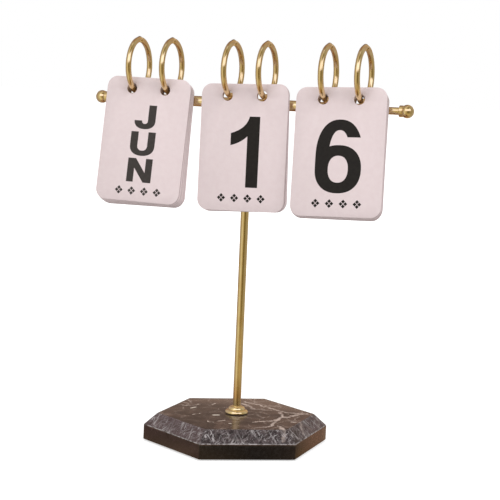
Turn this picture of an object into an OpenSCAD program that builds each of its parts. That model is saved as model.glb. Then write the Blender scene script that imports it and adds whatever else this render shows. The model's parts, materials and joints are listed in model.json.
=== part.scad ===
// Perpetual desk calendar: a brass post on a hexagonal marble foot carries a cross bar, and three packets
// of cards hang from six open rings on the bar. The cards flip over the rings to set month and day.
// Origin: centre of the foot's underside. +X runs along the bar, -Y faces the reader, +Z is up.

/* [Foot] */
// Width of the hexagonal stone across its flats
foot_flats = 100; // [80:1:125]
// Height of the stone's upright side wall
foot_wall_h = 9.3; // [7.5:0.1:14]
// How far the top bevel reaches in from the wall
foot_bevel_w = 7.3; // [3:0.1:12]
// How high the top bevel is
foot_bevel_h = 7.3; // [3:0.1:12]
// Turn of the stone about the post, against the bar
foot_turn = 28.4; // [0:0.1:60]
// Thickness of the rubber sheet under the stone
pad_t = 0.8; // [0.4:0.1:3]
// How far the rubber sheet stays inside the stone's edge
pad_inset = 3; // [1:0.5:10]

/* [Clamp under the stone] */
// Diameter of the pocket in the underside
pocket_d = 20; // [15:0.5:30]
// Depth of the pocket
pocket_depth = 6.5; // [5.2:0.1:7.2]
// Outer diameter of the clamp washer
washer_d = 12; // [9:0.5:14]
// Thickness of the clamp washer
washer_t = 1; // [0.6:0.1:1.4]
// Width of the clamp nut across its flats
nut_flats = 7; // [6.5:0.1:10]
// Height of the clamp nut
nut_h = 3.2; // [2.4:0.1:3.4]
// Radial play of the stud in the stone
stud_play = 0.5; // [0.1:0.1:1]
// Length of stud that stands out below the nut
stud_proud = 0.4; // [0.1:0.1:0.8]

/* [Post and flange] */
// Height of the bar's axis above the table
bar_height = 209.8; // [150:0.1:260]
// Diameter of the post
post_d = 5; // [4.4:0.1:6]
// Diameter of the stud at the post's lower end
stud_d = 4; // [3:0.1:4.2]
// Diameter of the spigot at the post's upper end
spigot_d = 3; // [2:0.1:3.8]
// Diameter of the flange that seats the post
flange_d = 14.3; // [13:0.1:24]
// Thickness of the flange's rim, whose edge is fully round
flange_rim_t = 2.2; // [0.8:0.1:3]
// How far the flange's rim stands out past its dome
flange_rim_w = 1.2; // [0.4:0.1:2]
// Thickness of the flange's neck wall round the post
flange_neck_wall = 0.7; // [0.4:0.1:1.5]
// Height of the flange's plain neck above the dome
flange_neck_h = 0.6; // [0.2:0.1:3]
// Thickness of the gasket between flange and stone
gasket_t = 0.4; // [0.3:0.1:1.5]
// How far the gasket stays inside the flange's edge
gasket_inset = 0.4; // [0.1:0.1:1]

/* [Cross bar] */
// Outer diameter of the bar's tube
tube_d = 6.5; // [5.6:0.1:8]
// Wall of the bar's tube
tube_wall = 1; // [0.5:0.1:1.1]
// Length of the bar's tube
tube_len = 166; // [160:1:176]
// Distance between the centres of the two end balls
ball_span = 197.5; // [194:0.5:220]
// Diameter of an end ball
ball_d = 8; // [7:0.1:12]
// Diameter of the collar behind an end ball
collar_d = 6.9; // [5.4:0.1:7]
// Thickness of the collar that shows behind the ball
collar_t = 0.7; // [0.5:0.1:2]
// Depth to which an end stem is pressed into the tube
stem_grip = 12; // [5:0.5:30]

/* [Rings] */
// Radius of a ring, measured to the middle of its wire
ring_r = 16.1; // [15:0.1:19]
// Diameter of the ring wire
wire_d = 3.5; // [2:0.1:4]
// Distance between the two rings of a pair
ring_gap = 22.2; // [18:0.1:26]
// Depth of the saddle that seats a ring's foot on the tube
ring_sink = 0.8; // [0.1:0.1:1]
// Diameter of the solder bead at a ring's foot
bead_d = 4.8; // [3.8:0.1:5.2]
// Angle over which the front end of the wire runs straight
ring_straight = 15; // [5:1:20]
// Angle from the top at which the rear end of the wire stops
ring_split = 3; // [2.4:0.1:6]

/* [Cards] */
// Width of a card
card_w = 55.8; // [50:0.1:59]
// Height of a card
card_h = 76.9; // [65:0.1:100]
// Thickness of a card
card_t = 0.46; // [0.3:0.01:0.5]
// Radius of a card's corners
card_corner = 6.5; // [3:0.1:10]
// Diameter of a punched hole
hole_d = 6.6; // [5.6:0.1:7.4]
// Distance from a card's top edge to the middle of its holes
hole_margin = 7.1; // [5.5:0.1:8.5]
// Air between neighbouring cards of a packet
card_air = 0.1; // [0.05:0.01:0.14]
// Play between the top of a hole and the wire that carries it
hang_play = 0.2; // [0.1:0.05:0.5]
// Air between the tube and the rearmost card
tube_air = 0.3; // [0.2:0.05:1]
// Irregular turn of single cards in their own plane
card_wobble = 0.3; // [0:0.05:0.5]

/* [Month packet] */
// Position of the month cards along the bar
months_x = -63; // [-66:0.1:-60]
// Lean of the packet, lower edges towards the reader
months_lean = 9; // [4:0.1:10]
// Turn of the front month card in its own plane, clockwise
months_turn = 1.1; // [-2:0.1:2]
// Turn from the front to the rear month card
months_fan = -1.6; // [-2:0.1:2]
// Extra air behind the month packet
months_slack = 0; // [0:0.1:1]

/* [Tens packet] */
// Position of the tens cards along the bar
tens_x = -0.5; // [-2:0.1:2]
// Lean of the packet, lower edges towards the reader
tens_lean = 4.8; // [2:0.1:10]
// Turn of the front tens card in its own plane, clockwise
tens_turn = -1.4; // [-2:0.1:2]
// Turn from the front to the rear tens card
tens_fan = -1.5; // [-2:0.1:2]
// Extra air behind the tens packet
tens_slack = 1.9; // [0:0.1:4]

/* [Units packet] */
// Position of the units cards along the bar
units_x = 60.5; // [59:0.1:65]
// Lean of the packet, lower edges towards the reader
units_lean = 9; // [4:0.1:10]
// Turn of the front units card in its own plane, clockwise
units_turn = -2.1; // [-2.5:0.1:2]
// Turn from the front to the rear units card
units_fan = 0.4; // [-2:0.1:2]
// Extra air behind the units packet
units_slack = 0; // [0:0.1:1]

/* [Hidden] */
$fn = 96;
CUT = 1;                                    // how far a cutter reaches past what it cuts
HEX_SIDES = 6;
BRASS = [0.79, 0.64, 0.38];
STONE = [0.31, 0.25, 0.23];
CARD = [0.89, 0.83, 0.82];
DARK = [0.09, 0.08, 0.08];
STEEL = [0.62, 0.63, 0.64];

// Each packet lists its cards from the front one to the rear one.
MONTHS = ["jun", "jul", "aug", "sep", "oct", "nov", "dec", "jan", "feb", "mar", "apr", "may"];
TENS = ["1", "2", "3", "0"];
UNITS = ["6", "7", "8", "9", "0", "1", "2", "3", "4", "5"];
MONTH_CARDS = [for (name = MONTHS) str("card_", name)];
TENS_CARDS = [for (name = TENS) str("card_tens_", name)];
UNITS_CARDS = [for (name = UNITS) str("card_units_", name)];
RINGS = ["ring_months_left", "ring_months_right", "ring_tens_left", "ring_tens_right",
         "ring_units_left", "ring_units_right"];
RING_X = [for (middle = [months_x, tens_x, units_x], side = [-1, 1]) middle + side * ring_gap / 2];

// Heights, from the table up
stone_top = pad_t + foot_wall_h + foot_bevel_h;
pocket_top = pad_t + pocket_depth;
nut_top = pocket_top - washer_t;
flange_bottom = stone_top + gasket_t;
flange_ledge = flange_bottom + flange_rim_t;
neck_r = post_d / 2 + flange_neck_wall;
dome_r = flange_d / 2 - flange_rim_w - post_d / 2;
stem_d = tube_d - 2 * tube_wall;
ring_rise = tube_d / 2 - ring_sink + wire_d / 2 + ring_r;

// A card's plane stands at card_reach from the bar's axis, measured square to the card.
card_step = card_t + card_air;
function card_reach(rank, count, slack) =
    tube_d / 2 + tube_air + slack + card_t / 2 + (count - 1 - rank) * card_step;
// Angle at which the ring wire passes through a card at that reach
function wire_angle(reach, lean) = asin((reach - ring_rise * sin(lean)) / ring_r);
// Height of the holes above the bar's axis, measured up the card, so that the lower hole hangs on its wire
function hang_height(reach, lean, turn) =
    let (angle = wire_angle(reach, lean))
    ring_rise * cos(lean) - ring_r * cos(angle) - hole_d / 2 + wire_d / 2 / cos(angle)
    + hang_play + card_t / 2 * tan(abs(angle)) + abs(ring_gap / 2 * sin(turn));
// Turn of one card: the front one's, fanned towards the rear one's, with a small irregular part
function card_turn(rank, count, turn, fan) =
    turn + fan * rank / (count - 1) + card_wobble * sin(137.5 * rank);

module hex_plate(flats, h) {
    cylinder(d = flats / cos(180 / HEX_SIDES), h = h, $fn = HEX_SIDES);
}

module foot_stone() {
    stone_h = foot_wall_h + foot_bevel_h;
    slope_len = norm([foot_bevel_w, foot_bevel_h]);
    color(STONE) translate([0, 0, pad_t]) difference() {
        rotate([0, 0, foot_turn]) difference() {
            hex_plate(foot_flats, stone_h);
            for (side = [0 : HEX_SIDES - 1])
                rotate([0, 0, (side + 0.5) * 360 / HEX_SIDES])
                translate([foot_flats / 2, 0, foot_wall_h])
                rotate([0, -atan2(foot_bevel_w, foot_bevel_h), 0])
                translate([0, -foot_flats / 2, -CUT])
                cube([foot_flats / 2, foot_flats, slope_len + 2 * CUT]);
        }
        translate([0, 0, -CUT]) cylinder(d = stud_d + 2 * stud_play, h = stone_h + 2 * CUT);
        translate([0, 0, -CUT]) cylinder(d = pocket_d, h = pocket_depth + CUT);
    }
}

module foot_pad() {
    color(DARK) rotate([0, 0, foot_turn]) hex_plate(foot_flats - 2 * pad_inset, pad_t);
}

module clamp_washer() {
    color(STEEL) translate([0, 0, nut_top]) difference() {
        cylinder(d = washer_d, h = washer_t);
        translate([0, 0, -CUT]) cylinder(d = stud_d, h = washer_t + 2 * CUT);
    }
}

module clamp_nut() {
    color(STEEL) translate([0, 0, nut_top - nut_h]) difference() {
        hex_plate(nut_flats, nut_h);
        translate([0, 0, -CUT]) cylinder(d = stud_d, h = nut_h + 2 * CUT);
    }
}

module flange_gasket() {
    color(DARK) translate([0, 0, stone_top]) difference() {
        cylinder(d = flange_d - 2 * gasket_inset, h = gasket_t);
        translate([0, 0, -CUT]) cylinder(d = stud_d, h = gasket_t + 2 * CUT);
    }
}

// Turned flange: a rim with a round edge, a dome up to the post, a neck, a bore and a ledge under the post's shoulder
module post_flange() {
    color(BRASS) translate([0, 0, flange_bottom]) difference() {
        union() {
            rotate_extrude() {
                square([(flange_d - flange_rim_t) / 2, flange_rim_t]);
                translate([(flange_d - flange_rim_t) / 2, flange_rim_t / 2]) circle(d = flange_rim_t);
            }
            translate([0, 0, flange_rim_t]) rotate_extrude() intersection() {
                translate([post_d / 2, 0]) circle(r = dome_r);
                square([post_d / 2 + dome_r, dome_r]);
            }
            cylinder(r = neck_r, h = flange_rim_t + dome_r + flange_neck_h);
        }
        translate([0, 0, -CUT]) cylinder(d = stud_d, h = flange_rim_t + 2 * CUT);
        translate([0, 0, flange_rim_t]) cylinder(d = post_d, h = dome_r + flange_neck_h + CUT);
    }
}

// Post with a stud below its shoulder, and a spigot that enters the tube; its top is saddled to the tube
module post() {
    stud_bottom = nut_top - nut_h - stud_proud;
    color(BRASS) {
        difference() {
            translate([0, 0, flange_ledge]) cylinder(d = post_d, h = bar_height - flange_ledge);
            bar_cylinder(tube_d, tube_d + 2 * post_d);
        }
        translate([0, 0, stud_bottom]) cylinder(d = stud_d, h = flange_ledge - stud_bottom);
        intersection() {
            translate([0, 0, bar_height - tube_d]) cylinder(d = spigot_d, h = tube_d - stem_d / 4);
            bar_cylinder(tube_d, tube_d + 2 * post_d);
        }
    }
}

// A cylinder of the given diameter and length on the bar's axis, centred on the post
module bar_cylinder(d, len) {
    translate([-len / 2, 0, bar_height]) rotate([0, 90, 0]) cylinder(d = d, h = len);
}

module cross_tube() {
    color(BRASS) difference() {
        bar_cylinder(tube_d, tube_len);
        bar_cylinder(stem_d, tube_len + 2 * CUT);
        translate([0, 0, bar_height - tube_d]) cylinder(d = spigot_d, h = tube_d);
    }
}

// End ball, collar and the stem that is pressed into the tube, turned from one rod
module finial(side) {
    ball_x = ball_span / 2;
    collar_inner = ball_x - ball_d / 2 - collar_t;
    stem_inner = tube_len / 2 - stem_grip;
    color(BRASS) translate([0, 0, bar_height]) mirror([side < 0 ? 1 : 0, 0, 0]) {
        translate([ball_x, 0, 0]) sphere(d = ball_d);
        translate([collar_inner, 0, 0]) rotate([0, 90, 0]) cylinder(d = collar_d, h = ball_x - collar_inner);
        translate([stem_inner, 0, 0]) rotate([0, 90, 0]) cylinder(d = stem_d, h = ball_x - stem_inner);
    }
}

// Open wire ring across the bar. It is drawn in its own plane, with local x to the rear and local y up.
// The poles of the bead's sphere lie on the wire, which keeps its outline with the wire to two plain circles.
module ring(x) {
    tip = 90 + ring_straight;
    color(BRASS) difference() {
        translate([x, 0, bar_height + ring_rise]) rotate([90, 0, 90]) {
            rotate([0, 0, tip]) rotate_extrude(angle = 360 - ring_straight - ring_split)
                translate([ring_r, 0]) circle(d = wire_d);
            rotate([0, 0, tip]) translate([ring_r, 0, 0]) rotate([90, 0, 0])
                cylinder(d = wire_d, h = ring_r * tan(ring_straight));
            translate([0, -ring_r, 0]) rotate([0, 90, 0]) sphere(d = bead_d);
        }
        bar_cylinder(tube_d, 2 * (abs(x) + bead_d));
    }
}

module card_blank() {
    linear_extrude(card_t) difference() {
        union() {
            square([card_w - 2 * card_corner, card_h], center = true);
            square([card_w, card_h - 2 * card_corner], center = true);
            for (side_x = [-1, 1], side_y = [-1, 1])
                translate([side_x * (card_w / 2 - card_corner), side_y * (card_h / 2 - card_corner)])
                circle(r = card_corner);
        }
        for (side_x = [-1, 1])
            translate([side_x * ring_gap / 2, card_h / 2 - hole_margin]) circle(d = hole_d);
    }
}

// One card of a packet: leant with its packet, set off by its rank, turned about the middle of its holes
module card(rank, count, x, lean, turn, fan, slack) {
    reach = card_reach(rank, count, slack);
    own_turn = card_turn(rank, count, turn, fan);
    color(CARD) translate([x, 0, bar_height]) rotate([-lean, 0, 0])
        translate([0, -reach, hang_height(reach, lean, own_turn)])
        rotate([0, own_turn, 0])
        translate([0, card_t / 2, hole_margin - card_h / 2])
        rotate([90, 0, 0]) card_blank();
}

foot_stone();
foot_pad();
clamp_washer();
clamp_nut();
flange_gasket();
post_flange();
post();
cross_tube();
finial(-1);  // finial_left
finial(1);  // finial_right
for (i = [0 : len(RINGS) - 1])
    ring(RING_X[i]);
for (rank = [0 : len(MONTHS) - 1])
    card(rank, len(MONTHS), months_x, months_lean, months_turn, months_fan, months_slack);
for (rank = [0 : len(TENS) - 1])
    card(rank, len(TENS), tens_x, tens_lean, tens_turn, tens_fan, tens_slack);
for (rank = [0 : len(UNITS) - 1])
    card(rank, len(UNITS), units_x, units_lean, units_turn, units_fan, units_slack);
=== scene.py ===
# %% [markdown]
# # A perpetual desk calendar
# A brass post on a hexagonal marble foot carries a cross bar. Six open wire rings stand on the bar, and
# three packets of punched cards hang from them: months, tens and units. Flip a card over the rings and the
# date changes. The CAD model brings every piece at its real size and place, and never moves. This lesson
# dresses it: stone with worn edges, polished brass, matt board and printer's ink.

# %% Load the frame
import json
import math

import bmesh
import bpy
from mathutils import Matrix, Vector
from mathutils.geometry import delaunay_2d_cdt

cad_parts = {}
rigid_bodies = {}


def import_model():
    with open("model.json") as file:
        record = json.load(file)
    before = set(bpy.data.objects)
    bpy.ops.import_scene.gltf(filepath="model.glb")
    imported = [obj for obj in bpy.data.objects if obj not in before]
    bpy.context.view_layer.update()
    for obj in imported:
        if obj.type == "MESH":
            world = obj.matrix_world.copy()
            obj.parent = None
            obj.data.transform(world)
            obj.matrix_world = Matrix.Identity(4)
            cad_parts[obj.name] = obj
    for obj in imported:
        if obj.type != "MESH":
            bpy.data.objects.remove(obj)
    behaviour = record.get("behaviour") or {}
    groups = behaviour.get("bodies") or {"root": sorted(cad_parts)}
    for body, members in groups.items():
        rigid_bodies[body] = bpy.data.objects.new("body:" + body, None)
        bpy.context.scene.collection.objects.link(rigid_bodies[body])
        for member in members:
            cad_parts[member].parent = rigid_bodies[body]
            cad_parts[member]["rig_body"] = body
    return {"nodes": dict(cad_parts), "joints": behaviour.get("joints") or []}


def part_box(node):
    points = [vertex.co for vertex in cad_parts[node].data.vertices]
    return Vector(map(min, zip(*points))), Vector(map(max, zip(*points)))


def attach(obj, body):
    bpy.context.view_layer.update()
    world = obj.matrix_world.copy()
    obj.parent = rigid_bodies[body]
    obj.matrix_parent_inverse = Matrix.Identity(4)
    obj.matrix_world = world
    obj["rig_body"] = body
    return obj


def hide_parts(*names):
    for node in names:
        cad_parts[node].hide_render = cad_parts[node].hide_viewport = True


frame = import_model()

MM = 0.001
cad = frame["nodes"]
scene = bpy.context.scene
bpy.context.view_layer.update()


# %% [markdown]
# ## Helpers for every piece
# A bmesh is Blender's workbench: points, edges and faces that operators cut and fold. A finished shape
# becomes an object, the object is told which body it rides on, and the plain CAD nodes it stands for are
# hidden.
# Edges sharper than 35 degrees stay crisp; the rest is shaded smooth, as on turned or moulded work.

# %% Helpers
SMOOTH_UNDER = math.radians(35)
SAME_SPOT = 0.001 * MM


def as_object(bm, name):
    """Makes an object of a bmesh and puts it into the scene."""
    mesh = bpy.data.meshes.new(name)
    bm.to_mesh(mesh)
    bm.free()
    made = bpy.data.objects.new(name, mesh)
    scene.collection.objects.link(made)
    return made


def finish_piece(bm, name, body, materials, nodes=()):
    """Turns a bmesh into a named piece that rides on a body."""
    piece = as_object(bm, name)
    mesh = piece.data
    for material in materials:
        mesh.materials.append(material)
    mesh.shade_smooth()
    mesh.set_sharp_from_angle(angle=SMOOTH_UNDER)
    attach(piece, body)
    if nodes:
        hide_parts(*nodes)
    print(f"{name}: {len(mesh.polygons)} faces on {body}")
    return piece


def rim_radii(node, height):
    """How far from the post's axis a CAD node has corners at one height, nearest first."""
    points = [v.co for v in cad[node].data.vertices if abs(v.co.z - height) < 0.01 * MM]
    return sorted({round(p.xy.length, 6) for p in points})


def sharp_edges(bm, angle, keep=lambda edge: True):
    """The edges whose two faces meet at more than an angle in degrees."""
    return [e for e in bm.edges if e.calc_face_angle(0) > math.radians(angle) and keep(e)]


# %% [markdown]
# Some steps come back in most pieces: moving points, softening edges, giving a flat shape its thickness.
# Operators hand back points, edges and faces in one list, so two helpers sort them out.

# %% Everyday steps
def points_in(parts):
    """The points among the parts that an operator hands back."""
    return [part for part in parts if isinstance(part, bmesh.types.BMVert)]


def edges_in(parts):
    return [part for part in parts if isinstance(part, bmesh.types.BMEdge)]


def edges_at(points):
    """The edges that meet at some points, each once and always in the same order."""
    return list(dict.fromkeys(edge for point in points for edge in point.link_edges))


def shift(bm, way, points=None):
    """Moves some points, or all of them."""
    bmesh.ops.translate(bm, verts=points or bm.verts, vec=way)


def soften(bm, edges, width, segments=2):
    """Bevels edges and hands back the new faces."""
    return bmesh.ops.bevel(bm, geom=edges, offset=width, segments=segments, profile=0.5, affect="EDGES",
                           material=-1)["faces"]


def face_outward(bm):
    bmesh.ops.recalc_face_normals(bm, faces=bm.faces)


def thicken(bm, height):
    """Extrudes all faces straight up."""
    shift(bm, (0, 0, height), points_in(bmesh.ops.extrude_face_region(bm, geom=bm.faces[:])["geom"]))
    face_outward(bm)


# %% [markdown]
# ## Building materials from nodes
# A material is a small network: textures feed colours, and colours feed one Principled shader. With
# `add("TexNoise", ...)` for each node a network stays as short as a recipe. All patterns read Object
# coordinates, in metres, so a scale of 1000 repeats about once a millimetre and the pattern stays put when
# a card flips.

# %% Node helpers
def new_material(name):
    """An empty material with its Principled shader and its node tree."""
    material = bpy.data.materials.new(name)
    material.use_nodes = True
    return material, material.node_tree.nodes["Principled BSDF"], material.node_tree


def wire(tree, value, socket):
    """Sets a socket, or joins it to another node's output."""
    if isinstance(value, bpy.types.NodeSocket):
        tree.links.new(value, socket)
    else:
        socket.default_value = value


def fill(shader, sockets):
    """Sets or joins the sockets of a shader by name."""
    for name, value in sockets.items():
        wire(shader.id_data, value, shader.inputs[name])


def add(tree, kind, inputs, out=0, **settings):
    """Adds one node. The inputs are a dictionary of socket names or numbers."""
    made = tree.nodes.new("ShaderNode" + kind)
    for name, value in settings.items():
        setattr(made, name, value)
    for name, value in inputs.items():
        wire(tree, value, made.inputs[name])
    return made.outputs[out]


def calc(tree, operation, *values):
    """One Math node on one, two or three values."""
    return add(tree, "Math", dict(enumerate(values)), operation=operation)


def times(tree, first, second):
    return calc(tree, "MULTIPLY", first, second)


def vector(tree, operation, first, second, out=0):
    """One VectorMath node on two vectors."""
    return add(tree, "VectorMath", {0: first, 1: second}, out=out, operation=operation)


def scaled(tree, arrow, factor):
    """A vector times a number."""
    return add(tree, "VectorMath", {0: arrow, "Scale": factor}, operation="SCALE")


def blend(tree, factor, first, second, mode="MIX"):
    """Mixes two colours; the sockets 6 and 7 are the colour pair of the Mix node."""
    return add(tree, "Mix", {0: factor, 6: first, 7: second}, out=2, data_type="RGBA", blend_type=mode)


def tinted(tree, colour, layers):
    """Lays tints over a colour; each layer has a mask, a strength and a tint."""
    for mask, strength, tint in layers:
        colour = blend(tree, times(tree, mask, strength), colour, tint)
    return colour


def noise(tree, place, scale, detail=4.0, roughness=0.5, distortion=0.0, out=0):
    """Fractal noise, as a grey value from 0 to 1 or, with out=1, as a colour."""
    return add(tree, "TexNoise", {"Vector": place, "Scale": scale, "Detail": detail, "Roughness": roughness,
                                  "Distortion": distortion}, out=out)


def ramp(tree, value, low, high, to_low=0.0, to_high=1.0):
    """Stretches the part of a value between low and high to a new range, with soft ends."""
    return add(tree, "MapRange", {"Value": value, "From Min": low, "From Max": high, "To Min": to_low,
                                  "To Max": to_high}, interpolation_type="SMOOTHSTEP")


def window(tree, value, rise, fall):
    """1 between two fades of a value, and 0 outside them."""
    return times(tree, ramp(tree, value, *rise), ramp(tree, value, *fall))


def object_place(tree):
    """Object coordinates, in metres."""
    return add(tree, "TexCoord", {}, out=3)


def reach(tree):
    """The distance from the origin, in metres."""
    return add(tree, "VectorMath", {0: object_place(tree)}, out=1, operation="LENGTH")


def bump(tree, height, distance, strength=1.0):
    """Turns a grey value into small hills, at most a distance high."""
    return add(tree, "Bump", {"Height": height, "Distance": distance, "Strength": strength})


# %% [markdown]
# ## Brass
# Bar, post, rings and balls are polished brass under clear lacquer, a pale and slightly greenish gold; the
# flange is the same brass painted paler, which is painted light. A metal has no colour apart from its
# reflections, so the base colour is the tint that it gives them. Real polish is never perfect: a fine
# cloudiness changes tint and roughness, and very shallow waves bend the highlights.

# %% Brass material
BRASS_ROUGH = (0.14, 0.19)
WAVE_H = 0.02 * MM


def make_brass(name, pale, warm):
    """Lacquered brass, mottled between two tints."""
    material, shader, tree = new_material(name)
    place = object_place(tree)
    cloud = noise(tree, place, 160.0, detail=5.0)
    waves = noise(tree, place, 240.0, detail=1.0)
    fill(shader, {"Base Color": blend(tree, ramp(tree, cloud, 0.35, 0.7), (*pale, 1), (*warm, 1)),
                  "Roughness": ramp(tree, cloud, 0.3, 0.75, *BRASS_ROUGH),
                  "Normal": bump(tree, waves, WAVE_H, 0.25),
                  "Metallic": 1.0, "Coat Weight": 0.5, "Coat Roughness": 0.08})
    return material


brass = make_brass("polished_brass", (0.80, 0.62, 0.34), (0.74, 0.54, 0.27))
# The flange's brass: the same brass painted paler, painted light for the brightness it catches
brass_painted_paler = make_brass("brass_painted_paler", (0.97, 0.80, 0.48), (0.93, 0.71, 0.38))
print("made", brass.name, "and", brass_painted_paler.name)

# %% [markdown]
# ## Marble
# The foot is a dark brown marble. Its top is polished, its bevel only honed and full of pale scratches, and
# its arrises are worn white. One function builds both finishes, because the stone under them is the same.
# The fine veins are placed one by one: each is the line between two points on the top, pushed about by
# noise so that it wanders. A web of cell borders adds the hairlines that nobody places.

# %% Marble: colours and veins
STONE_DEEP = (0.020, 0.012, 0.010, 1)
STONE_BROWN = (0.090, 0.055, 0.042, 1)
# The next four colours are painted light and shade, not stone: red light at the right end, warm light at the
# back, plum shade on the left wall and near-black shade on the front wall
RIGHT_END_PAINTED_LIGHT = (0.150, 0.072, 0.050, 1)
REAR_PAINTED_LIGHT = (0.155, 0.100, 0.075, 1)
LEFT_WALL_PAINTED_SHADE = (0.020, 0.011, 0.016, 1)
FRONT_WALL_PAINTED_SHADE = (0.014, 0.012, 0.011, 1)
VEIN = (0.74, 0.60, 0.53, 1)
FLECK = (0.68, 0.60, 0.52, 1)
WORN = (0.42, 0.385, 0.385, 1)
CRUMB = (0.07, 0.055, 0.05, 1)
HONED_DARK = (0.020, 0.014, 0.014, 1)
HONED_PALE = (0.070, 0.052, 0.054, 1)
HONED_MAUVE = (0.155, 0.100, 0.100, 1)
# Veins on the top: half width and the points they run through, in millimetres from the post
VEINS = [
    (1.0, [(-6, 27), (-2.6, 26.5), (2.2, 20), (5.8, 16.6)]),
    (1.0, [(-6, 34), (-1.6, 29.4), (5.4, 30.5), (9, 26.4), (16.5, 22.5), (25, 17.6), (38, 20.5)]),
    (0.7, [(3.5, 15.3), (9.7, 16.9), (16.7, 17.8)]),
    (1.0, [(23.4, 18.8), (25.1, 11.9), (29.6, 3.3)]),
    (1.3, [(38.9, 21.2), (31.7, 6.9), (29.6, 3.3), (27.6, -5.2), (28.5, -10.8), (30.3, -21.6)]),
    (0.9, [(27.6, -5.2), (25.7, -8.2), (17.2, -19.1)]),
    (0.8, [(30.8, -22.8), (23.4, -30.9)]),
    (1.2, [(35.1, -20.6), (39.8, -26.4), (41.6, -32.5)]),
    (1.0, [(38.8, -4.8), (42.9, -3.7), (47.1, -10.5)]),
    (0.6, [(-36.3, 2.3), (-29.9, 12)]), (0.6, [(-23, -17.1), (-20.3, -12.1)]),
    (0.7, [(-22.3, 14.5), (-20.5, 19.6)]), (0.6, [(-3.5, -26.3), (0.9, -22.5)]),
    (0.5, [(-7.8, -28.7), (-5, -30.7)]), (0.6, [(-40.4, 20.7), (-37.3, 15)]),
]
FLECKS = [(1.0, [(-29.9, -1.1), (-28.7, 2.9)]), (1.5, [(-10.3, -11.8), (-8.3, -10.5)]),
          (0.8, [(5.9, -28), (6.7, -28.1)])]
VEIN_CORE = 0.35


def line_distance(tree, place, start, end):
    """Distance in millimetres from a place to the line between two points of the top."""
    across = Vector((end[0] - start[0], end[1] - start[1], 0))
    offset = vector(tree, "SUBTRACT", place, (*start, 0))
    along = vector(tree, "DOT_PRODUCT", offset, across / across.length_squared, out=1)
    share = add(tree, "Clamp", {"Value": along})
    return vector(tree, "DISTANCE", offset, scaled(tree, across, share), out=1)


def vein_mask(tree, place, lines, soft):
    """1 in the core of the lines, fading to 0 at soft times their half width."""
    mask = 0.0
    for width, points in lines:
        for start, end in zip(points, points[1:]):
            near = line_distance(tree, place, start, end)
            mask = calc(tree, "MAXIMUM", mask, ramp(tree, near, width * soft, width * VEIN_CORE))
    return mask


print("veins placed:", len(VEINS))

# %% [markdown]
# The stone is large clouds from deep to mid brown with a fine grain. Over it lie painted shade and painted
# light by side: painted shade nearly black on the front wall and plum on the left, painted light red
# towards the right end and warm at the back. The veins run over the top only, wander and break off.

# %% Marble: stone and veins
# A fade in millimetres is nothing at its first number and all at its second
WALL, TOP = (9.8, 9.0), (10.0, 12.0)
# These fades place the painted shade and light of the sides; LEFT and RIGHT also place the honed faces' mauve
# ends
FRONT, LEFT, REAR = (-3.0, -1.0), (-1.0, -3.0), (12.0, 34.0)
RIGHT, RIGHT_DEPTH = (36.0, 51.0), (-36.0, 8.0)
WANDER = (8.0, 8.0, 0.0)


def right_end(tree, x_mm, y_mm):
    return times(tree, ramp(tree, x_mm, *RIGHT), ramp(tree, y_mm, *RIGHT_DEPTH))


def brown_stone(tree, cloud, speckle, x_mm, y_mm, z_mm):
    """The ground of the polished faces, with painted shade and painted light by side."""
    stone = blend(tree, ramp(tree, cloud, 0.35, 0.68), STONE_DEEP, STONE_BROWN)
    wall = ramp(tree, z_mm, *WALL)
    # Painted shade on the front and left walls, painted light at the right end and at the back
    stone = tinted(tree, stone, ((times(tree, ramp(tree, x_mm, *FRONT), wall), 1.0, FRONT_WALL_PAINTED_SHADE),
                                 (times(tree, ramp(tree, x_mm, *LEFT), wall), 0.85, LEFT_WALL_PAINTED_SHADE),
                                 (right_end(tree, x_mm, y_mm), 0.8, RIGHT_END_PAINTED_LIGHT),
                                 (ramp(tree, y_mm, *REAR), 0.95, REAR_PAINTED_LIGHT)))
    grain = ramp(tree, speckle, 0.35, 0.75, 0.75, 1.35)
    grey = add(tree, "CombineColor", {0: grain, 1: grain, 2: grain})
    return blend(tree, 1.0, stone, grey, "MULTIPLY")


def laid_veins(tree, in_mm, flat_place, cloud, y_mm):
    """The placed veins and the web of hairs, pushed about and broken up."""
    wander = noise(tree, in_mm, 0.16, detail=5.0, roughness=0.6, out=1)
    wander = vector(tree, "MULTIPLY", vector(tree, "SUBTRACT", wander, (0.5, 0.5, 0.5)), WANDER)
    warped = vector(tree, "ADD", flat_place, wander)
    broken = ramp(tree, noise(tree, in_mm, 0.30, detail=5.0, roughness=0.6), 0.34, 0.56, 0.25, 1.0)
    web = add(tree, "TexVoronoi", {"Vector": warped, "Scale": 0.085}, feature="DISTANCE_TO_EDGE")
    hairs = times(tree, ramp(tree, web, 0.05, 0.004), ramp(tree, cloud, 0.38, 0.60, 0.08, 0.6))
    hairs = times(tree, hairs, ramp(tree, y_mm, -22.0, 4.0, 0.35, 1.0))
    return times(tree, calc(tree, "MAXIMUM", vein_mask(tree, warped, VEINS, 1.4), hairs), broken)


# %% [markdown]
# Honed faces are greyer and rough, with streaks along the slope. Their pattern reads the UV map that the
# foot gets when it is built, because a streak has to follow its own face. Towards both ends they turn
# mauve.

# %% Marble: honing
STREAKS = ((-0.50, 0.85), (0.40, 0.75), (-1.0, 1.15))
STREAK_STRETCH = (1.0, 6.0, 1.0)


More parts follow.
